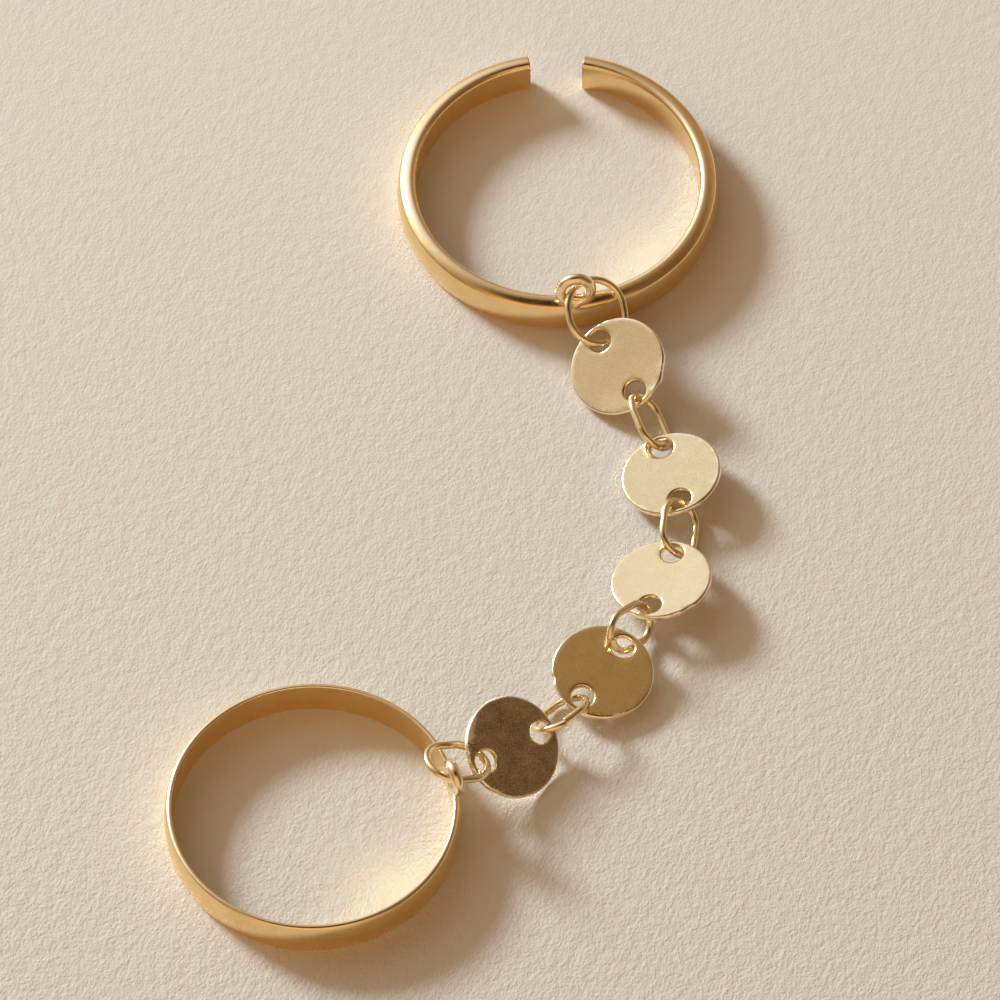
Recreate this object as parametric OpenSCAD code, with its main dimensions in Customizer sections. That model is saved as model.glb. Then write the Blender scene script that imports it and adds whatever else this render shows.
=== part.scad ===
// Two finger bands joined by a chain of five drilled discs and six jump rings, lying on a table.
// Millimetres, +Z up, resting on z = 0. The closed band lies at -Y and the open band at +Y.

/* [Closed band] */
// Inside diameter of the closed band
closed_bore_d = 17.3; // [15:0.1:21]
// Height of the closed band
closed_h = 2.55; // [2.2:0.05:2.8]
// Thickness of the closed band at the middle of its height
closed_wall = 0.48; // [0.4:0.02:0.8]
// Thickness of the closed band at its rims
closed_rim = 0.28; // [0.2:0.02:0.36]

/* [Open band] */
// Inside diameter of the open band
open_bore_d = 18.14; // [15:0.1:21]
// Height of the open band
open_h = 2.65; // [2.3:0.05:2.9]
// Thickness of the open band at the middle of its height
open_wall = 1.2; // [1.1:0.02:1.4]
// Thickness of the open band at its rims
open_rim = 0.62; // [0.5:0.02:0.7]
// Angle of the gap between the two ends of the open band
open_gap = 20; // [10:1:40]
// Bearing of the middle of the gap
open_gap_to = 90; // [80:1:100]

/* [Soldered loops] */
// Outside diameter of the loop on the closed band
closed_loop_d = 2.35; // [2.3:0.05:2.6]
// Outside diameter of the loop on the open band
open_loop_d = 2.65; // [2.5:0.05:2.8]
// Wire of both loops
loop_wire = 0.66; // [0.6:0.02:0.7]
// How far the closed band's loop sinks into the rim that it is soldered to
closed_loop_sink = 0.12; // [0.1:0.01:0.16]
// How far the open band's loop sinks below the top of its rim
open_loop_sink = 0.32; // [0.28:0.01:0.36]
// Size of the bead of solder under each loop
solder_d = 0.8; // [0.7:0.05:0.9]

/* [Discs] */
// Diameter of each disc
disc_d = 6.4; // [6:0.1:6.6]
// Thickness of each disc
disc_t = 0.36; // [0.3:0.02:0.38]
// Diameter of the two holes in each disc
disc_hole_d = 1.4; // [1.36:0.02:1.5]
// Distance from the middle of a disc to the middle of each hole
disc_hole_at = 2.15; // [2.1:0.01:2.2]

/* [Jump rings] */
// Wire of the jump rings
ring_wire = 0.46; // [0.4:0.02:0.48]
// Width of the cut where the two ends of a jump ring meet
ring_cut = 0.04; // [0.02:0.01:0.1]

/* [Hidden] */
$fn = 72;

// A loop stands at a bearing and a radius on its band. Its plane is turned from the rim's tangent
// and leans inward from upright.
LOOP_BEARING = 0;
LOOP_RADIUS = 1;
LOOP_TURN = 2;
LOOP_LEAN = 3;
// Each bead of solder sits a little lower than the wire.
solder_drop = 0.08;
closed_loop = [8.5, closed_bore_d / 2 + 0.1, 14, 0];
open_loop = [-83.5, open_bore_d / 2 + 0.58, 0, 12];

// The lay of the chain on the table, measured from the foot of the closed band's loop:
// where the foot of the open band's loop lies
open_loop_foot = [7.63, 36.7];

// Each disc's middle, how far its face leans from level, the bearing that it leans to,
// and the turn of its hole line about its own axis from that bearing
DISC_X = 0;
DISC_Y = 1;
DISC_Z = 2;
DISC_LEAN = 3;
DISC_TO = 4;
DISC_SPIN = 5;
discs = [
    //  x,     y,     z,    lean, to,   spin
    [10.3, 32.05, 1.88, 28, -142,   82],
    [13.6, 24.2,  1.24, 13,  169,  116],
    [12.9, 16.05, 1.44, 12,  141,  110],
    [ 9.2,  9.3,  1.22,  9,  -65,  -61],
    [ 3.6,  3.27, 2.01, 34,  -38, -107]
];

// Each jump ring joins two points of the chain. Width across its wire's centre line, how much
// longer than wide it is pulled, roll about the line between the points, shift of its middle
// across and along that line, turn in its own plane, and the place of its cut on the half turn
// at its far end
RING_WIDTH = 0;
RING_PULL = 1;
RING_ROLL = 2;
RING_ACROSS = 3;
RING_ALONG = 4;
RING_TURN = 5;
RING_CUT = 6;
rings = [
    // width, pull, roll, across, along, turn, cut
    [3.76, 0.42,  -6,    0.66, -0.02, -18,  40],
    [2.64, 1.26, -45,    0.04,  0.12,  -3,  40],
    [2.6,  1.14, -41,    0.26, -0.06,   1,  40],
    [2.5,  1.14, -58,   -0.38,  0.37, -26,   0],
    [2.7,  1.06,  38.5, -0.14, -0.1,   -4,  80],
    [3.16, 0.8,    0,   -0.89,  0.19, 156, -40]
];

// Outside radii of the two bands, and the highest reach of the open band towards +Y
closed_ro = closed_bore_d / 2 + closed_wall;
open_ro = open_bore_d / 2 + open_wall;
open_reach = open_ro * cos(open_gap / 2);

function bearing_to(a) = [cos(a), sin(a)];

// Middles of the bands, first from the closed band's loop and then from the middle of the whole
closed_from_loop = -closed_loop[LOOP_RADIUS] * bearing_to(closed_loop[LOOP_BEARING]);
open_from_loop = open_loop_foot - open_loop[LOOP_RADIUS] * bearing_to(open_loop[LOOP_BEARING]);
middle = [
    (closed_from_loop[0] - closed_ro + open_from_loop[0] + open_ro) / 2,
    (closed_from_loop[1] - closed_ro + open_from_loop[1] + open_reach) / 2
];
closed_at = closed_from_loop - middle;
open_at = open_from_loop - middle;

// The middles of the loops and the discs
function plan(p, z) = [p[0] - middle[0], p[1] - middle[1], z];
closed_loop_at = plan([0, 0], closed_h - closed_loop_sink + closed_loop_d / 2);
open_loop_at = plan(open_loop_foot, open_h - open_loop_sink + open_loop_d / 2);
function disc_at(d) = plan(d, d[DISC_Z]);

// The direction of a disc's hole line, and its two holes along the chain
function hole_line(lean, to, spin) = [
    cos(spin) * cos(lean) * cos(to) - sin(spin) * sin(to),
    cos(spin) * cos(lean) * sin(to) + sin(spin) * cos(to),
    -cos(spin) * sin(lean)
];
function hole_at(d, side) =
    disc_at(d) + side * disc_hole_at * hole_line(d[DISC_LEAN], d[DISC_TO], d[DISC_SPIN]);

// The two points that jump ring i joins, from the open band to the closed band
function ring_start(i) = i == 0 ? open_loop_at : hole_at(discs[i - 1], 1);
function ring_end(i) = i == len(discs) ? closed_loop_at : hole_at(discs[i], -1);

// A half-round section: flat inside at radius r, thickest at the middle of its height
module band_section(r, wall, rim, h) {
    bulge = wall - rim;
    arc_r = (pow(h / 2, 2) + pow(bulge, 2)) / (2 * bulge);
    intersection() {
        translate([r, 0]) square([wall, h]);
        translate([r + wall - arc_r, h / 2]) circle(r = arc_r);
    }
}

// A ring of round wire, flat in the XY plane
module wire_ring(d, wire) {
    rotate_extrude() translate([(d - wire) / 2, 0]) circle(d = wire);
}

// A loop standing on a bead of solder on a rim, its middle at the given height
module soldered_loop(loop, d, middle_z) {
    rotate([0, 0, loop[LOOP_BEARING]])
        translate([loop[LOOP_RADIUS], 0, middle_z])
            rotate([0, 0, loop[LOOP_TURN]])
                rotate([0, 90 - loop[LOOP_LEAN], 0]) {
                    wire_ring(d, loop_wire);
                    translate([(d - loop_wire) / 2 + solder_drop, 0, 0]) sphere(d = solder_d);
                }
}

module closed_band() {
    color("#c99a55")
        translate([closed_at[0], closed_at[1], 0])
            difference() {
                union() {
                    rotate_extrude()
                        band_section(closed_bore_d / 2, closed_wall, closed_rim, closed_h);
                    soldered_loop(closed_loop, closed_loop_d, closed_loop_at[2]);
                }
                cylinder(d = closed_bore_d, h = closed_h);
            }
}

module open_band() {
    color("#c49450")
        translate([open_at[0], open_at[1], 0])
            union() {
                rotate([0, 0, open_gap_to + open_gap / 2])
                    rotate_extrude(angle = 360 - open_gap)
                        band_section(open_bore_d / 2, open_wall, open_rim, open_h);
                soldered_loop(open_loop, open_loop_d, open_loop_at[2]);
            }
}

// A flat disc with a hole near its rim on each side
module disc(d) {
    color("#d8bb83")
        translate(disc_at(d))
            rotate([0, d[DISC_LEAN], d[DISC_TO]])
                rotate([0, 0, d[DISC_SPIN]])
                    difference() {
                        cylinder(d = disc_d, h = disc_t, center = true);
                        for (side = [-1, 1])
                            translate([side * disc_hole_at, 0, 0])
                                cylinder(d = disc_hole_d, h = 2 * disc_t, center = true);
                    }
}

// A bend of jump ring wire from one angle through another, and one of its straight sides
module bent_wire(width, from, sweep) {
    rotate([0, 0, from])
        rotate_extrude(angle = sweep)
            translate([width / 2, 0])
                circle(d = ring_wire);
}

module straight_wire(width, pull, side) {
    translate([-pull / 2, side * width / 2, 0])
        rotate([0, 90, 0])
            cylinder(d = ring_wire, h = pull);
}

// A jump ring in the XY plane, pulled slightly long: two half turns with straight sides between
// them. The half turn towards +X is cut at the given angle.
module jump_ring_shape(width, pull, cut) {
    cut_angle = 2 * asin(ring_cut / width);
    translate([pull / 2, 0, 0]) {
        bent_wire(width, -90, 90 + cut - cut_angle / 2);
        mirror([0, 1, 0])
            bent_wire(width, -90, 90 - cut - cut_angle / 2);
    }
    translate([-pull / 2, 0, 0])
        bent_wire(width, 90, 180);
    for (side = [-1, 1])
        straight_wire(width, pull, side);
}

// Jump ring i, turned onto the line between the two points that it joins
module jump_ring(i) {
    ring = rings[i];
    span = ring_end(i) - ring_start(i);
    mid = (ring_end(i) + ring_start(i)) / 2;
    heading = atan2(span[1], span[0]);
    pitch = atan2(span[2], norm([span[0], span[1]]));
    color("#cfa45e")
        translate(mid)
            rotate([ring[RING_ROLL], -pitch, heading])
                translate([ring[RING_ALONG], ring[RING_ACROSS], 0])
                    rotate([0, 0, ring[RING_TURN]])
                        jump_ring_shape(ring[RING_WIDTH], ring[RING_PULL], ring[RING_CUT]);
}

closed_band();
open_band();
disc(discs[0]);  // disc_1
disc(discs[1]);  // disc_2
disc(discs[2]);  // disc_3
disc(discs[3]);  // disc_4
disc(discs[4]);  // disc_5
jump_ring(0);  // jump_ring_1
jump_ring(1);  // jump_ring_2
jump_ring(2);  // jump_ring_3
jump_ring(3);  // jump_ring_4
jump_ring(4);  // jump_ring_5
jump_ring(5);  // jump_ring_6
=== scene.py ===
import math

import bmesh
import bpy
from mathutils import Matrix, Vector, noise


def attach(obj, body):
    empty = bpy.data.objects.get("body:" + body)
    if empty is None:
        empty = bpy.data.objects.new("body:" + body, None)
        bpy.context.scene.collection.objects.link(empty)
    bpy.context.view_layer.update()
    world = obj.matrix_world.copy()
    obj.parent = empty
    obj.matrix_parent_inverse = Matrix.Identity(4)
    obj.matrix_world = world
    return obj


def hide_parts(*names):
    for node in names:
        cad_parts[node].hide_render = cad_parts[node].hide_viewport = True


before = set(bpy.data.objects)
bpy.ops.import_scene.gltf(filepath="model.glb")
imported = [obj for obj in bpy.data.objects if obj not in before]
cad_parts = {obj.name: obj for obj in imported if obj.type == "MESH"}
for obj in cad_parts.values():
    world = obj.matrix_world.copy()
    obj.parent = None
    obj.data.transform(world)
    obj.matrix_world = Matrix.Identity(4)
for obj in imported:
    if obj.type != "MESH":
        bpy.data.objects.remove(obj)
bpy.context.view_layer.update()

bpy.ops.object.select_all(action="DESELECT")


# Camera. It stands in front of the piece and looks down at it steeply, from far enough off that
# the near band is hardly larger than the far one.
MM = 0.001
look_down = math.radians(55.57)
look_at = Vector((3.33, 0.109, 0)) * MM
camera_reach = 628.8 * MM
camera_lens_mm = 360
line_of_sight = Vector((0, math.cos(look_down), -math.sin(look_down)))
bpy.ops.object.camera_add(
    location=look_at - camera_reach * line_of_sight,
    rotation=(math.pi / 2 - look_down, 0, 0),
)
camera = bpy.context.object
camera.data.sensor_width = 36
camera.data.lens = camera_lens_mm
camera.data.clip_start = 10 * MM
bpy.context.scene.camera = camera


# Light. One broad lamp, low at the back left, throws the shadows to the right and forward. The
# room that the metal mirrors is a soft glow: a bright window wall behind the lamp, a warm wall in
# front, a faint one at the back right and a dark patch of ceiling.
lamp_bearing = 138.5
lamp_height = 25
lamp_colour = (0.76, 0.885, 0.99)


def way_towards(bearing, height):
    """The direction at a bearing and a height angle, both in degrees."""
    bearing = math.radians(bearing)
    height = math.radians(height)
    return Vector((
        math.cos(bearing) * math.cos(height),
        math.sin(bearing) * math.cos(height),
        math.sin(height),
    ))


def shade(tree, kind, feeds=None, **settings):
    """A new shader node: feeds gives a value or another node's output for each of its sockets."""
    made = tree.nodes.new(kind)
    for setting, value in settings.items():
        setattr(made, setting, value)
    for socket, source in (feeds or {}).items():
        if isinstance(source, bpy.types.NodeSocket):
            tree.links.new(source, made.inputs[socket])
        else:
            made.inputs[socket].default_value = source
    return made


def vector_math(tree, operation, *values):
    """The outcome of one operation on directions, places or colours."""
    made = shade(tree, "ShaderNodeVectorMath", dict(enumerate(values)), operation=operation)
    return made.outputs["Value" if operation in ("DOT_PRODUCT", "LENGTH") else "Vector"]


def colour_steps(tree, source, steps):
    """A ramp that turns a value into colours, from pairs of a place and a colour."""
    made = shade(tree, "ShaderNodeValToRGB", {"Fac": source})
    ramp = made.color_ramp
    while len(ramp.elements) < len(steps):
        ramp.elements.new(0.5)
    for element, (place, colour) in zip(ramp.elements, steps):
        element.position = place
        element.color = (*colour, 1)
    return made.outputs["Color"]


bpy.ops.object.light_add(type="AREA")
window_lamp = bpy.context.object
window_lamp.name = "window_lamp"
window_lamp.data.shape = "ELLIPSE"
window_lamp.data.size = 0.28
window_lamp.data.size_y = 0.24
window_lamp.data.energy = 13.8
window_lamp.data.color = lamp_colour
window_lamp.location = way_towards(lamp_bearing, lamp_height)
window_lamp.rotation_euler = window_lamp.location.to_track_quat("Z", "Y").to_euler()

room = bpy.data.worlds.new("room")
bpy.context.scene.world = room
room.use_nodes = True
room_tree = room.node_tree
room_way = shade(room_tree, "ShaderNodeTexCoord").outputs["Generated"]


def glow_towards(bearing, height, steps):
    """A part of the room's light that depends on how near a direction lies to this one."""
    nearness = vector_math(room_tree, "DOT_PRODUCT", room_way, way_towards(bearing, height))
    return colour_steps(room_tree, nearness, steps)


window_wall = glow_towards(135, 28, (
    (0.0, (0.175, 0.104, 0.058)),
    (0.3, (0.215, 0.120, 0.066)),
    (0.56, (0.37, 0.24, 0.10)),
    (0.74, (0.50, 0.37, 0.25)),
    (0.81, (0.67, 0.59, 0.47)),
    (0.90, (0.95, 0.96, 0.95)),
    (0.97, (1.0, 0.94, 0.82)),
))
warm_wall = glow_towards(-95, 22, (
    (0.60, (0.0, 0.0, 0.0)),
    (0.90, (0.69, 0.485, 0.265)),
))
far_wall = glow_towards(35, 8, (
    (0.80, (0.0, 0.0, 0.0)),
    (0.97, (0.26, 0.20, 0.14)),
))
dark_ceiling = glow_towards(-90, 78, (
    (0.90, (1.0, 1.0, 1.0)),
    (0.96, (0.14, 0.08, 0.05)),
))
walls = vector_math(room_tree, "ADD", window_wall, warm_wall)
walls = vector_math(room_tree, "ADD", walls, far_wall)
room_colour = vector_math(room_tree, "MULTIPLY", walls, dark_ceiling)
room_tree.links.new(room_colour, room_tree.nodes["Background"].inputs["Color"])
room_tree.nodes["Background"].inputs["Strength"].default_value = 1.0
bpy.context.scene.view_settings.view_transform = "Standard"
bpy.context.scene.cycles.blur_glossy = 0.23


# Table. A sheet of heavy uncoated card in a warm off-white, pressed with the soft dimples of felt,
# lies flat under the piece. It is pressed a little deeper at the front.
card_size = 3
card_front = -35 * MM
card_back = 35 * MM
felt_turn = math.radians(70)


def new_material(name):
    """A material, its node tree and its shader."""
    made = bpy.data.materials.new(name)
    made.use_nodes = True
    return made, made.node_tree, made.node_tree.nodes["Principled BSDF"]


def number_math(tree, operation, *values):
    """The outcome of one operation on numbers."""
    made = shade(tree, "ShaderNodeMath", dict(enumerate(values)), operation=operation)
    return made.outputs["Value"]


def mottle(tree, place, scale, detail, roughness=0.5):
    """A soft random pattern, with its scale in features to a metre."""
    return shade(tree, "ShaderNodeTexNoise", {
        "Vector": place,
        "Scale": scale,
        "Detail": detail,
        "Roughness": roughness,
    }).outputs["Fac"]


def spread(tree, value, low, high, to_low=0, to_high=1, easing="LINEAR"):
    """A value between two limits, spread over another range."""
    return shade(tree, "ShaderNodeMapRange", {
        "Value": value,
        "From Min": low,
        "From Max": high,
        "To Min": to_low,
        "To Max": to_high,
    }, interpolation_type=easing).outputs["Result"]


def emboss(tree, shader, height, strength, depth):
    """Lets a pattern stand out from the surface."""
    bump = shade(
        tree, "ShaderNodeBump", {"Height": height, "Strength": strength, "Distance": depth}
    )
    tree.links.new(bump.outputs["Normal"], shader.inputs["Normal"])


bpy.ops.mesh.primitive_plane_add(size=card_size)
table = bpy.context.object
table.name = "table"
card, card_tree, card_shader = new_material("warm_card")
card_shader.inputs["Roughness"].default_value = 0.85
card_shader.inputs["Specular IOR Level"].default_value = 0.25
card_place = shade(card_tree, "ShaderNodeTexCoord").outputs["Object"]
card_colour = colour_steps(card_tree, mottle(card_tree, card_place, 900, 4), (
    (0.3, (0.735, 0.635, 0.555)),
    (0.7, (0.725, 0.675, 0.575)),
))
card_tree.links.new(card_colour, card_shader.inputs["Base Color"])
felt_lay = shade(card_tree, "ShaderNodeMapping", {
    "Vector": card_place,
    "Rotation": (0, 0, felt_turn),
    "Scale": (1.15, 1, 1),
}, vector_type="TEXTURE").outputs["Vector"]
felt_grain = mottle(card_tree, felt_lay, 4600, 2, 0.6)
felt_waves = mottle(card_tree, felt_lay, 1500, 2)
felt_height = number_math(card_tree, "MULTIPLY_ADD", felt_waves, 1.1, felt_grain)
card_depth = shade(card_tree, "ShaderNodeSeparateXYZ", {"Vector": card_place}).outputs["Y"]
felt_strength = spread(card_tree, card_depth, card_front, card_back, 0.68, 0.31)
emboss(card_tree, card_shader, felt_height, felt_strength, 0.1 * MM)
table.data.materials.append(card)


# Closed band. A thin finger band of gold-plated brass, flat inside and slightly arched outside,
# polished on a wheel that leaves fine scratches running round it. A small loop of round wire
# stands on its upper rim in a spot of solder.
closed_middle = Vector((-8.1657, -24.2826, 0)) * MM
closed_bore = 17.3 * MM
closed_height = 2.55 * MM
closed_wall = 0.48 * MM
closed_loop_bearing = 8.5
closed_loop_radius = 8.75 * MM
closed_loop_level = 3.605 * MM
closed_loop_across = 2.35 * MM
closed_loop_twist = 14
closed_tones = ((0.92, 0.66, 0.31), (0.99, 0.76, 0.39))
loop_wire = 0.72 * MM
solder_drop = 0.08 * MM
solder_bead = Vector((0.4, 0.4, 0.4)) * MM
solder_puddle = Vector((0.24, 0.62, 0.16)) * MM
solder_climb = Vector((0.27, 0.5, 0.22)) * MM
rubbed_rim = 0.14 * MM
rubbed_band_gold = (0.96, 0.80, 0.56, 1)
plating_relief = 0.004 * MM
# Points are picked to within a hair of their place, and merged within a tenth of one.
hair = 0.01 * MM
merge_within = 0.001 * MM


def edit(thing, mode):
    """Opens one piece for modelling, with nothing of it selected."""
    bpy.ops.object.select_all(action="DESELECT")
    bpy.context.view_layer.objects.active = thing
    thing.select_set(True)
    bpy.ops.object.mode_set(mode="EDIT")
    bpy.ops.mesh.select_mode(type=mode)
    bpy.ops.mesh.select_all(action="DESELECT")


def pick(thing, parts, wanted):
    """Selects the vertices, edges or faces of an open piece that pass a test."""
    bpy.ops.mesh.select_all(action="DESELECT")
    mesh = bmesh.from_edit_mesh(thing.data)
    for part in getattr(mesh, parts):
        if wanted(part):
            part.select = True
    mesh.select_flush_mode()
    bmesh.update_edit_mesh(thing.data)


def edge_middle(edge):
    """The point halfway along an edge."""
    return (edge.verts[0].co + edge.verts[1].co) / 2


def merge_all():
    """Merges what lies at one place, and leaves everything selected."""
    bpy.ops.mesh.select_all(action="SELECT")
    bpy.ops.mesh.remove_doubles(threshold=merge_within)


def close_up(thing, smooth_below):
    """Ends the modelling of a piece: merged, facing outwards and smooth up to an angle."""
    merge_all()
    bpy.ops.mesh.quads_convert_to_tris(ngon_method="BEAUTY")
    bpy.ops.mesh.dissolve_degenerate(threshold=4 * merge_within)
    bpy.ops.mesh.normals_make_consistent(inside=False)
    bpy.ops.object.mode_set(mode="OBJECT")
    bpy.ops.object.shade_smooth_by_angle(angle=math.radians(smooth_below))


def combine(thing, tool, operation):
    """Joins another piece to this one, or cuts this one with it."""
    bpy.ops.object.select_all(action="DESELECT")
    bpy.context.view_layer.objects.active = thing
    thing.select_set(True)
    change = thing.modifiers.new("combine", "BOOLEAN")
    change.operation = operation
    change.solver = "EXACT"
    change.object = tool
    bpy.ops.object.modifier_apply(modifier=change.name)
    bpy.data.objects.remove(tool)


def leaning(angle):
    """The way along a surface whose normal stands at an angle from level: outwards and down."""
    return Vector((math.sin(angle), 0, -math.cos(angle)))


def finger_band(
    name, middle, bore, wall, height, arch_to, corner, crown_to, crown, inner_round, sweep
):
    """A band spun about its middle from one upright section: flat inside, gently arched outside
    up to an angle, turning quickly at a small corner, and crowned from there to its rims."""
    arch_to = math.radians(arch_to)
    crown_to = math.radians(crown_to)
    corner_reach = corner * math.tan((crown_to - arch_to) / 2)
    crown_reach = crown * math.tan((math.pi / 2 - crown_to) / 2)
    to_corner = (crown_reach + corner_reach) * leaning(crown_to)
    to_arch = to_corner + corner_reach * leaning(arch_to)
    arc = (height / 2 + to_arch.z) / math.sin(arch_to)
    inside = middle.x + bore / 2
    outside = inside + height
    arch_middle = inside + wall - arc
    crown_foot = arch_middle + arc * math.cos(arch_to) - to_arch.x
    bpy.ops.mesh.primitive_plane_add(
        size=height,
        location=(inside + height / 2, middle.y, height / 2),
        rotation=(math.pi / 2, 0, 0),
    )
    band = bpy.context.object
    band.name = name
    bpy.ops.object.transform_apply(location=True, rotation=True, scale=True)
    edit(band, "EDGE")
    for level in (0, height):
        pick(band, "edges", lambda edge: abs(edge_middle(edge).z - level) < hair)
        bpy.ops.mesh.subdivide(number_cuts=1)
    section = bmesh.from_edit_mesh(band.data)
    for point in section.verts:
        if inside + hair < point.co.x < outside - hair:
            point.co.x = crown_foot
    pick(band, "edges", lambda edge: edge_middle(edge).x > outside - hair)
    arch_cuts = 14
    bpy.ops.mesh.subdivide(number_cuts=arch_cuts)
    section = bmesh.from_edit_mesh(band.data)
    arch = sorted(
        (point for point in section.verts if point.co.x > outside - hair),
        key=lambda point: point.co.z,
    )
    for step, point in enumerate(arch[1:-1]):
        angle = arch_to * (2 * step / (arch_cuts - 1) - 1)
        point.co.x = arch_middle + arc * math.cos(angle)
        point.co.z = height / 2 + arc * math.sin(angle)
    for point in (arch[0], arch[-1]):
        point.co.x = crown_foot + to_corner.x
    arch[-1].co.z = height + to_corner.z
    arch[0].co.z = -to_corner.z
    bmesh.update_edit_mesh(band.data)
    bpy.ops.mesh.select_mode(type="VERT")
    # Two bevels share one side of the section, so neither may take up quite the whole of its part.
    side_share = 0.97
    for x, size, rounds in (
        (crown_foot + to_corner.x, side_share * corner_reach, 5),
        (crown_foot, side_share * crown_reach, 8),
        (inside, inner_round, 6),
    ):
        pick(band, "verts", lambda point: (
            abs(point.co.x - x) < merge_within and abs(point.co.z - height / 2) > height / 4
        ))
        bpy.ops.mesh.bevel(offset=size, segments=rounds, affect="VERTICES")
    bpy.ops.mesh.select_all(action="SELECT")
    bpy.ops.mesh.delete(type="ONLY_FACE")
    bpy.ops.mesh.select_all(action="SELECT")
    steps_all_round = 480
    bpy.ops.mesh.spin(
        steps=round(steps_all_round * sweep / 360),
        angle=math.radians(sweep),
        center=middle,
        axis=(0, 0, 1),
    )
    return band


def soldered_loop(middle, turn, lean, across, rim_height):
    """A loop of wire on its bead of solder, which spreads into a small puddle on the rim and
    climbs a little way into the loop."""
    loop_turn = Matrix.Rotation(math.radians(turn), 4, "Z")
    loop_stand = (
        Matrix.Translation(middle)
        @ loop_turn
        @ Matrix.Rotation(math.radians(90 - lean), 4, "Y")
    )
    bpy.ops.mesh.primitive_torus_add(
        major_segments=120,
        minor_segments=40,
        major_radius=(across - loop_wire) / 2,
        minor_radius=loop_wire / 2,
    )
    loop = bpy.context.object
    loop.matrix_world = loop_stand
    bpy.ops.object.transform_apply(location=True, rotation=True, scale=True)
    bead_at = loop_stand @ Vector(((across - loop_wire) / 2 + solder_drop, 0, 0))
    hole_foot = loop_stand @ Vector((across / 2 - loop_wire, 0, 0))
    for size, place in (
        (solder_bead, bead_at),
        (solder_puddle, Vector((bead_at.x, bead_at.y, rim_height))),
        (solder_climb, hole_foot),
    ):
        bpy.ops.mesh.primitive_uv_sphere_add(segments=48, ring_count=24, radius=1)
        lump = bpy.context.object
        lump.matrix_world = (
            Matrix.Translation(place) @ loop_turn @ Matrix.Diagonal(size).to_4x4()
        )
        bpy.ops.object.transform_apply(location=True, rotation=True, scale=True)
        loop.select_set(True)
        bpy.context.view_layer.objects.active = loop
        bpy.ops.object.join()
    loop.data.remesh_voxel_size = 0.035 * MM
    bpy.ops.object.voxel_remesh()
    edit(loop, "VERT")
    bpy.ops.mesh.select_all(action="SELECT")
    bpy.ops.mesh.vertices_smooth(factor=0.5, repeat=8)
    bpy.ops.object.mode_set(mode="OBJECT")
    return loop


def blend(tree, amount, first, second):
    """A mix of two colours."""
    made = shade(tree, "ShaderNodeMix", {0: amount, 6: first, 7: second}, data_type="RGBA")
    return made.outputs[2]


def gild(tree, shader, tone, rough, relief, strength):
    """Makes a shader metal, with its colour, its gloss and the fine relief of its plating."""
    tree.links.new(tone, shader.inputs["Base Color"])
    tree.links.new(rough, shader.inputs["Roughness"])
    emboss(tree, shader, relief, strength, plating_relief)
    shader.inputs["Metallic"].default_value = 1


def polished_gold(name, middle, height, tones):
    """Wheel-polished plating: the scratches follow the band, and its rims are rubbed paler."""
    made, tree, shader = new_material(name)
    place = shade(tree, "ShaderNodeTexCoord").outputs["Object"]
    from_middle = vector_math(tree, "SUBTRACT", place, middle)
    flat = vector_math(tree, "MULTIPLY", from_middle, (1, 1, 0))
    level = shade(tree, "ShaderNodeSeparateXYZ", {"Vector": from_middle}).outputs["Z"]
    scratches_to_metre = 9000
    scratches_to_radian = 22
    steep = number_math(tree, "MULTIPLY", level, scratches_to_metre)
    along = vector_math(
        tree,
        "MULTIPLY_ADD",
        vector_math(tree, "NORMALIZE", flat),
        (scratches_to_radian, scratches_to_radian, scratches_to_radian),
        shade(tree, "ShaderNodeCombineXYZ", {"Z": steep}).outputs["Vector"],
    )
    across = number_math(
        tree, "MULTIPLY", vector_math(tree, "LENGTH", flat), scratches_to_metre
    )
    scratches = shade(tree, "ShaderNodeTexNoise", {
        "Vector": along,
        "W": across,
        "Scale": 1,
        "Detail": 3,
        "Roughness": 0.6,
    }, noise_dimensions="4D").outputs["Fac"]
    clouds = mottle(tree, place, 700, 4)
    grain = mottle(tree, place, 6000, 2)
    from_half_way_up = number_math(
        tree, "ABSOLUTE", number_math(tree, "SUBTRACT", level, height / 2)
    )
    worn = spread(
        tree, from_half_way_up, height / 2 - rubbed_rim, height / 2, easing="SMOOTHSTEP"
    )
    tone = colour_steps(tree, clouds, ((0.3, tones[0]), (0.7, tones[1])))
    tone = blend(tree, worn, tone, rubbed_band_gold)
    rough = spread(tree, scratches, 0.3, 0.7, 0.15, 0.27)
    relief = number_math(tree, "MULTIPLY_ADD", scratches, 0.6, grain)
    gild(tree, shader, tone, rough, relief, 0.25)
    return made


def around(middle, bearing, radius, height):
    """The point at a bearing and a radius about a band's middle."""
    bearing = math.radians(bearing)
    return middle + Vector((math.cos(bearing) * radius, math.sin(bearing) * radius, height))


closed_band = finger_band(
    "closed_finger_band",
    closed_middle,
    bore=closed_bore,
    wall=closed_wall,
    height=closed_height,
    arch_to=15.4,
    corner=0.2 * MM,
    crown_to=50,
    crown=0.2 * MM,
    inner_round=0.1 * MM,
    sweep=360,
)
close_up(closed_band, 30)
closed_loop_middle = around(
    closed_middle, closed_loop_bearing, closed_loop_radius, closed_loop_level
)
closed_loop = soldered_loop(
    closed_loop_middle,
    turn=closed_loop_bearing + closed_loop_twist,
    lean=0,
    across=closed_loop_across,
    rim_height=closed_height,
)
# The solder is filed flush with the inside of the band.
bpy.ops.mesh.primitive_cylinder_add(
    vertices=240,
    radius=closed_bore / 2 + 0.03 * MM,
    depth=closed_height,
    location=closed_middle + Vector((0, 0, closed_height / 2)),
)
combine(closed_loop, bpy.context.object, "DIFFERENCE")
combine(closed_band, closed_loop, "UNION")
edit(closed_band, "VERT")
close_up(closed_band, 35)
closed_band.data.materials.clear()
closed_band.data.materials.append(
    polished_gold("closed_band_gold", closed_middle, closed_height, closed_tones)
)
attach(closed_band, "root")
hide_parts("closed_band")


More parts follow.
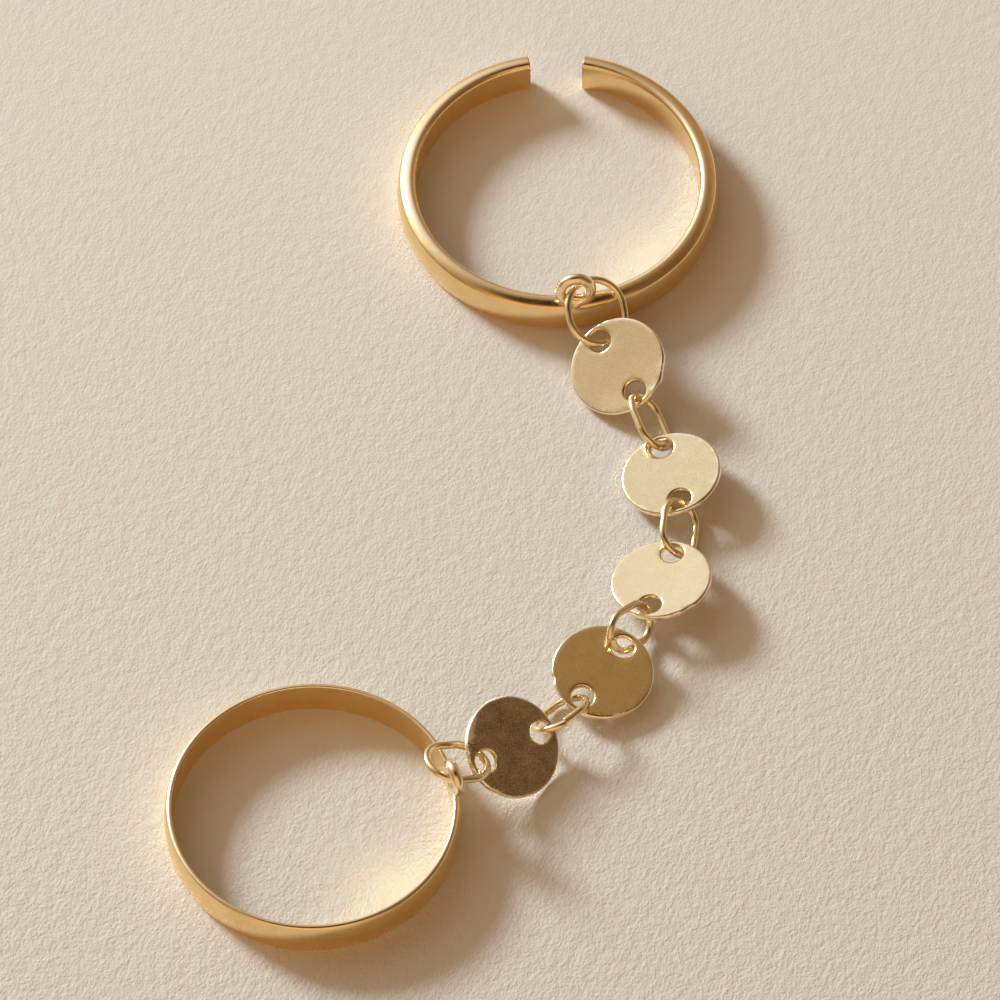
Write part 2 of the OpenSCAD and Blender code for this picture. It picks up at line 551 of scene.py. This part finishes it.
# Open band. A thicker half-round finger band of the same plated brass, sawn through at its far
# side so that it can be squeezed to fit, with the saw's edges rubbed off. Its wire loop leans
# inward on the rim nearest to the chain.
open_middle = Vector((7.0257, 23.2987, 0)) * MM
open_bore = 18.14 * MM
open_height = 2.65 * MM
open_wall = 1.2 * MM
open_gap = 20.9
open_gap_bearing = 90.4
open_loop_bearing = -83.5
open_loop_radius = 9.65 * MM
open_loop_level = 3.655 * MM
open_loop_across = 2.65 * MM
open_tones = ((0.885, 0.625, 0.29), (0.96, 0.715, 0.365))


def cap_ends(thing, rub):
    """Closes the two open ends of a spun piece and rubs off the edges round them."""
    bpy.ops.mesh.select_all(action="DESELECT")
    bpy.ops.mesh.select_non_manifold()
    bpy.ops.mesh.fill_holes(sides=0)
    bpy.ops.mesh.select_mode(type="EDGE")
    pick(thing, "edges", lambda edge: max(len(face.verts) for face in edge.link_faces) > 4)
    bpy.ops.mesh.bevel(offset=rub, segments=2, affect="EDGES")


open_band = finger_band(
    "open_finger_band",
    open_middle,
    bore=open_bore,
    wall=open_wall,
    height=open_height,
    arch_to=16,
    corner=0.25 * MM,
    crown_to=52,
    crown=1.0 * MM,
    inner_round=0.36 * MM,
    sweep=360 - open_gap,
)
merge_all()
bpy.ops.transform.rotate(
    value=-math.radians(open_gap_bearing - open_gap / 2),
    orient_axis="Z",
    center_override=open_middle,
)
cap_ends(open_band, 0.05 * MM)
close_up(open_band, 30)
open_loop_middle = around(open_middle, open_loop_bearing, open_loop_radius, open_loop_level)
open_loop = soldered_loop(
    open_loop_middle,
    turn=open_loop_bearing,
    lean=12,
    across=open_loop_across,
    rim_height=open_height - 0.05 * MM,
)
combine(open_band, open_loop, "UNION")
edit(open_band, "VERT")
close_up(open_band, 35)
open_band.data.materials.clear()
open_band.data.materials.append(
    polished_gold("open_band_gold", open_middle, open_height, open_tones)
)
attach(open_band, "root")
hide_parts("open_band")


# Discs. Five blanks stamped from thin brass sheet, drilled near the rim at both sides, tumbled so
# that the upper edges and the mouths of the holes are rolled over, and plated satin. Each one has
# picked up dents of its own along the rim, and hangs at its own angle.
disc_size = 6.4 * MM
disc_thick = 0.36 * MM
hole_size = 1.4 * MM
hole_reach = 2.15 * MM
face_grid = 0.24 * MM
# Dark gold that a whole disc is blended towards as painted shade.
painted_shade_disc_gold = (0.30, 0.22, 0.13, 1)
# Pale gold for rims worn paler, and for spots painted paler that are partly wear and partly a
# painted reflection.
rubbed_and_sheen_disc_gold = (0.96, 0.85, 0.66, 1)
# Middle of each disc from the foot of the closed band's loop, how far its face leans from level,
# the bearing that it leans to, the turn of its hole line, and how far it is dished.
disc_lays = (
    (10.3, 32.05, 1.88, 28, -142, 82, 0.02),
    (13.6, 24.2, 1.24, 13, 169, 116, 0.03),
    (12.9, 16.05, 1.44, 12, 141, 110, 0.03),
    (9.2, 9.3, 1.22, 9, -65, -61, 0.0),
    (3.6, 3.27, 2.01, 34, -38, -107, -0.03),
)
# Dents of each disc's rim: bearing on the disc, half width in degrees, depth and how far the lip
# is rolled up.
disc_dents = (
    ((48, 16, 0.1, 0.05), (20, 10, 0.07, 0.06)),
    ((150, 12, 0.04, 0.0),),
    ((52, 12, 0.08, -0.04), (36, 8, 0.06, -0.03)),
    ((317, 7, 0.09, -0.02), (60, 18, 0.03, 0.0)),
    ((345, 14, 0.06, -0.05), (42, 10, 0.06, 0.03)),
)
# How much each disc is darkened by painted shade and how speckled it is, and where its rim is
# painted paler, partly as rubbed-bare wear and partly as a painted reflection: bearing on the
# disc, half width in degrees and reach inward.
disc_shade_and_specks = ((0.0, 0.03), (0.22, 0.05), (0.0, 0.02), (0.0, 0.15), (0.0, 0.9))
disc_rubs_and_sheen = (
    (),
    (),
    (),
    ((55, 25, 0.3), (320, 10, 0.4)),
    ((318, 34, 0.8), (38, 14, 0.5), (80, 35, 0.25), (260, 30, 0.2)),
)


def pierced_disc():
    """One disc at the middle of the scene, lying flat with its holes along X."""
    bpy.ops.object.select_all(action="DESELECT")
    bpy.ops.mesh.primitive_cylinder_add(vertices=240, radius=disc_size / 2, depth=disc_thick)
    disc = bpy.context.object
    for side in (-1, 1):
        bpy.ops.mesh.primitive_cylinder_add(
            vertices=72,
            radius=hole_size / 2,
            depth=4 * disc_thick,
            location=(side * hole_reach, 0, 0),
        )
        combine(disc, bpy.context.object, "DIFFERENCE")
    edit(disc, "EDGE")

    def on_rim(point):
        return point.xy.length > disc_size / 2 - hair

    def on_hole(point):
        return math.hypot(abs(point.x) - hole_reach, point.y) < hole_size / 2 + hair

    for level, rim_roll, hole_roll, rounds in (
        (disc_thick / 2, 0.16 * MM, 0.17 * MM, 6),
        (-disc_thick / 2, 0.05 * MM, 0.04 * MM, 3),
    ):
        for on_edge, roll in ((on_rim, rim_roll), (on_hole, hole_roll)):
            pick(disc, "edges", lambda edge: all(
                abs(point.co.z - level) < hair and on_edge(point.co) for point in edge.verts
            ))
            bpy.ops.mesh.bevel(offset=roll, segments=rounds, affect="EDGES")
    # The faces are cut into a grid so that they can be dished. The grid is shifted to miss the
    # middle of the disc.
    grid_cuts = 13
    grid_shift = 0.37
    for axis in (Vector((1, 0, 0)), Vector((0, 1, 0))):
        for step in range(-grid_cuts, grid_cuts + 1):
            bpy.ops.mesh.select_all(action="SELECT")
            bpy.ops.mesh.bisect(plane_co=axis * (step + grid_shift) * face_grid, plane_no=axis)
    close_up(disc, 40)
    return disc


def bearing_of(place):
    """The bearing of a point about the middle of the scene, in degrees."""
    return math.degrees(math.atan2(place.y, place.x))


def off_middle(bearing, at, half_width):
    """How far a bearing lies from the middle of a spot on the rim, where 1 is its end."""
    return abs((bearing - at + 180) % 360 - 180) / half_width


def dent_rim(disc, number, dents, dish):
    """Lets the face sag or swell a little and presses short ragged dents into the rim. Each disc's
    number gives it waves and dents of its own."""
    waviness = 0.012 * MM
    waves_to_metre = 400
    raggedness = 0.7
    tears_to_degree = 0.35
    dents_from = 0.88
    for point in disc.data.vertices:
        place = point.co
        out = place.xy.length / (disc_size / 2)
        bearing = bearing_of(place)
        wave_at = Vector((place.x * waves_to_metre, place.y * waves_to_metre, number * 7.1))
        lift = dish * (out ** 2 - 0.5) + waviness * noise.noise(wave_at)
        for at, half_width, depth, roll in dents:
            off = off_middle(bearing, at, half_width)
            if off < 1:
                tear_at = Vector((bearing * tears_to_degree, number * 3.3, at))
                ragged = 1 + raggedness * noise.noise(tear_at)
                near_rim = max(0, (out - dents_from) / (1 - dents_from))
                strength = (1 - off ** 2) ** 2 * ragged * near_rim ** 2
                place.xy *= 1 - strength * depth * MM / (disc_size / 2)
                lift += strength * roll * MM
        place.z += lift


def store_wear_and_painted_light(disc, painted_darkening, speckling, rubs_and_sheen):
    """Keeps, for the finish to follow, where each point lay before the disc was hung, how much the
    disc is darkened by painted shade, how speckled it is, and where its rim is painted paler,
    partly rubbed bare and partly a painted reflection."""
    kept = disc.data.attributes
    kept.new("lay", "FLOAT_VECTOR", "POINT")
    for name in ("painted_shade", "speckled", "rubbed_and_sheen"):
        kept.new(name, "FLOAT", "POINT")
    for point in disc.data.vertices:
        place = point.co
        # Spots on the rim painted paler, partly wear and partly a painted reflection.
        bare_and_sheen = 0
        for at, half_width, reach in rubs_and_sheen:
            off = off_middle(bearing_of(place), at, half_width)
            inward = (disc_size / 2 - place.xy.length) / (reach * MM)
            bare_and_sheen = max(bare_and_sheen, 1 - math.hypot(off, inward))
        kept["lay"].data[point.index].vector = place / MM
        # How far the whole disc is darkened as painted shade.
        kept["painted_shade"].data[point.index].value = painted_darkening
        kept["speckled"].data[point.index].value = speckling
        kept["rubbed_and_sheen"].data[point.index].value = bare_and_sheen


def satin_gold():
    """Tumbled plating: a fine speckle, cloudy patches and rims rubbed paler. It also carries
    painted shade that darkens a whole disc, and spots on the rim painted paler, partly as wear and
    partly as a painted reflection.
    """
    made, tree, shader = new_material("disc_gold")

    def stored(name):
        return shade(tree, "ShaderNodeAttribute", attribute_name=name).outputs

    place = shade(tree, "ShaderNodeTexCoord").outputs["Object"]
    flat = vector_math(tree, "MULTIPLY", stored("lay")["Vector"], (1, 1, 0))
    radius_mm = vector_math(tree, "LENGTH", flat)
    clouds = mottle(tree, place, 1100, 6, 0.7)
    speckle = mottle(tree, place, 10500, 2, 0.6)
    patches = number_math(tree, "MULTIPLY_ADD", speckle, 1.5, clouds)
    # The clouds, added to the radius of 3.2 mm at the rim, give the worn rim a ragged inner edge.
    ragged_rim = number_math(tree, "MULTIPLY_ADD", clouds, 1.1, radius_mm)
    rim_worn = spread(tree, ragged_rim, 3.45, 3.75, easing="SMOOTHSTEP")
    # The spots on the rim are painted paler, partly as wear and partly as a painted reflection.
    ragged_rub_and_sheen = number_math(tree, "MULTIPLY_ADD", patches, 0.8, stored("rubbed_and_sheen")["Fac"])
    bare_and_sheen = spread(tree, ragged_rub_and_sheen, 1.3, 1.6, easing="SMOOTHSTEP")
    worn = number_math(tree, "MAXIMUM", rim_worn, bare_and_sheen)
    evenness = spread(tree, patches, 0.9, 1.6)
    tone = colour_steps(tree, evenness, (
        (0.0, (0.83, 0.66, 0.41)),
        (1.0, (0.92, 0.765, 0.515)),
    ))
    # Painted shade: the whole disc is blended towards a dark gold.
    tone = blend(tree, stored("painted_shade")["Fac"], tone, painted_shade_disc_gold)
    specks = colour_steps(tree, evenness, (
        (0.1, (0.50, 0.375, 0.21)),
        (0.9, (1.0, 0.91, 0.64)),
    ))
    tone = blend(tree, stored("speckled")["Fac"], tone, specks)
    # Rims worn paler, and spots painted paler that are partly wear and partly a painted
    # reflection.
    tone = blend(tree, worn, tone, rubbed_and_sheen_disc_gold)
    rough = spread(tree, patches, 1.1, 1.4, 0.14, 0.19)
    rough = number_math(tree, "MULTIPLY_ADD", bare_and_sheen, 0.5, rough)
    gild(tree, shader, tone, rough, patches, 0.3)
    return made


chain_foot = around(closed_middle, closed_loop_bearing, closed_loop_radius, 0)
disc_pattern = pierced_disc()
disc_finish = satin_gold()
disc_stands = []
for number, (x, y, z, lean, lean_to, spin, dish) in enumerate(disc_lays, 1):
    bpy.ops.object.select_all(action="DESELECT")
    disc_pattern.select_set(True)
    bpy.context.view_layer.objects.active = disc_pattern
    bpy.ops.object.duplicate()
    disc = bpy.context.object
    disc.name = f"chain_disc_{number}"
    dent_rim(disc, number, disc_dents[number - 1], dish * MM)
    store_wear_and_painted_light(disc, *disc_shade_and_specks[number - 1], disc_rubs_and_sheen[number - 1])
    disc_stand = (
        Matrix.Translation(chain_foot + Vector((x, y, z)) * MM)
        @ Matrix.Rotation(math.radians(lean_to), 4, "Z")
        @ Matrix.Rotation(math.radians(lean), 4, "Y")
        @ Matrix.Rotation(math.radians(spin), 4, "Z")
    )
    disc_stands.append(disc_stand)
    disc.matrix_world = disc_stand
    bpy.ops.object.transform_apply(location=True, rotation=True, scale=True)
    disc.data.materials.append(disc_finish)
    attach(disc, "root")
    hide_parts(f"disc_{number}")
bpy.data.objects.remove(disc_pattern)


# Jump rings. Six rings wound from round brass wire, cut, threaded through the holes and pressed
# shut by hand, which left them slightly oval, then plated bright. The ends of the fourth and the
# fifth do not quite meet, and the sixth is of slightly stouter wire.
ring_cut = 0.04 * MM
# Wire, width, pull, roll, shift across and along, turn in its own plane, place of the cut, and how
# far the two ends stand apart sideways, for each ring from the open band to the closed band.
ring_lays = (
    (0.46, 3.76, 0.42, -6, 0.66, -0.02, -18, 40, 0.02),
    (0.46, 2.64, 1.26, -45, 0.04, 0.12, -3, 40, 0.02),
    (0.46, 2.6, 1.14, -41, 0.26, -0.06, 1, 40, 0.02),
    (0.46, 2.5, 1.14, -58, -0.38, 0.37, -26, 0, 0.1),
    (0.46, 2.7, 1.06, 38.5, -0.14, -0.1, -4, 80, 0.06),
    (0.49, 3.16, 0.8, 0, -0.89, 0.19, 156, -40, 0.02),
)


def wound_ring(name, wire, width, pull, cut, offset):
    """A ring of wire pulled a little long, flat at the middle of the scene, cut at one end."""
    bpy.ops.mesh.primitive_circle_add(
        vertices=32,
        radius=wire / 2,
        location=(width / 2, 0, 0),
        rotation=(math.pi / 2, 0, 0),
    )
    ring = bpy.context.object
    ring.name = name
    bpy.ops.object.transform_apply(location=True, rotation=True, scale=True)
    gap = 2 * math.asin(ring_cut / width)
    edit(ring, "EDGE")
    bpy.ops.mesh.select_all(action="SELECT")
    bpy.ops.mesh.spin(steps=200, angle=2 * math.pi - gap, center=(0, 0, 0), axis=(0, 0, 1))
    merge_all()
    cap_ends(ring, 0.03 * MM)
    close_up(ring, 40)
    # The wire is bent sideways towards its two ends, and wavers a little all the way round.
    bend_from = 0.9
    waver = 0.01 * MM
    waver_to_metre = 9000
    for point in ring.data.vertices:
        place = point.co
        bearing = math.atan2(place.y, place.x) % (2 * math.pi)
        from_cut = min(abs(bearing - gap), 2 * math.pi - bearing)
        step_side = 1 if bearing < math.pi else -1
        place.z += step_side * offset * max(0, 1 - from_cut / bend_from) ** 2
        place.z += waver * math.sin(3 * bearing + width * waver_to_metre)
    ring.data.transform(Matrix.Rotation(math.radians(cut) - gap / 2, 4, "Z"))
    for point in ring.data.vertices:
        if abs(point.co.x) > merge_within / 10:
            point.co.x += math.copysign(pull / 2, point.co.x)
    return ring


def bright_gold():
    """Bright plated wire, with a faint cloudy tone and a fine even grain."""
    made, tree, shader = new_material("wire_gold")
    place = shade(tree, "ShaderNodeTexCoord").outputs["Object"]
    clouds = mottle(tree, place, 1500, 4)
    grain = mottle(tree, place, 9000, 2)
    tone = colour_steps(tree, clouds, (
        (0.3, (0.89, 0.71, 0.41)),
        (0.7, (0.95, 0.81, 0.52)),
    ))
    rough = spread(tree, clouds, 0.3, 0.7, 0.20, 0.28)
    gild(tree, shader, tone, rough, grain, 0.2)
    return made


wire_finish = bright_gold()
hung_from = [open_loop_middle]
hung_to = []
for disc_stand in disc_stands:
    hung_to.append(disc_stand @ Vector((-hole_reach, 0, 0)))
    hung_from.append(disc_stand @ Vector((hole_reach, 0, 0)))
hung_to.append(closed_loop_middle)
for number, (start, end, lay) in enumerate(zip(hung_from, hung_to, ring_lays), 1):
    wire, width, pull, roll, across, along, turn, cut, offset = lay
    ring = wound_ring(
        f"jump_ring_wire_{number}", wire * MM, width * MM, pull * MM, cut, offset * MM
    )
    span = end - start
    heading = math.atan2(span.y, span.x)
    pitch = math.atan2(span.z, math.hypot(span.x, span.y))
    ring.data.transform(
        Matrix.Translation((start + end) / 2)
        @ Matrix.Rotation(heading, 4, "Z")
        @ Matrix.Rotation(-pitch, 4, "Y")
        @ Matrix.Rotation(math.radians(roll), 4, "X")
        @ Matrix.Translation(Vector((along, across, 0)) * MM)
        @ Matrix.Rotation(math.radians(turn), 4, "Z")
    )
    ring.data.materials.append(wire_finish)
    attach(ring, "root")
    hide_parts(f"jump_ring_{number}")
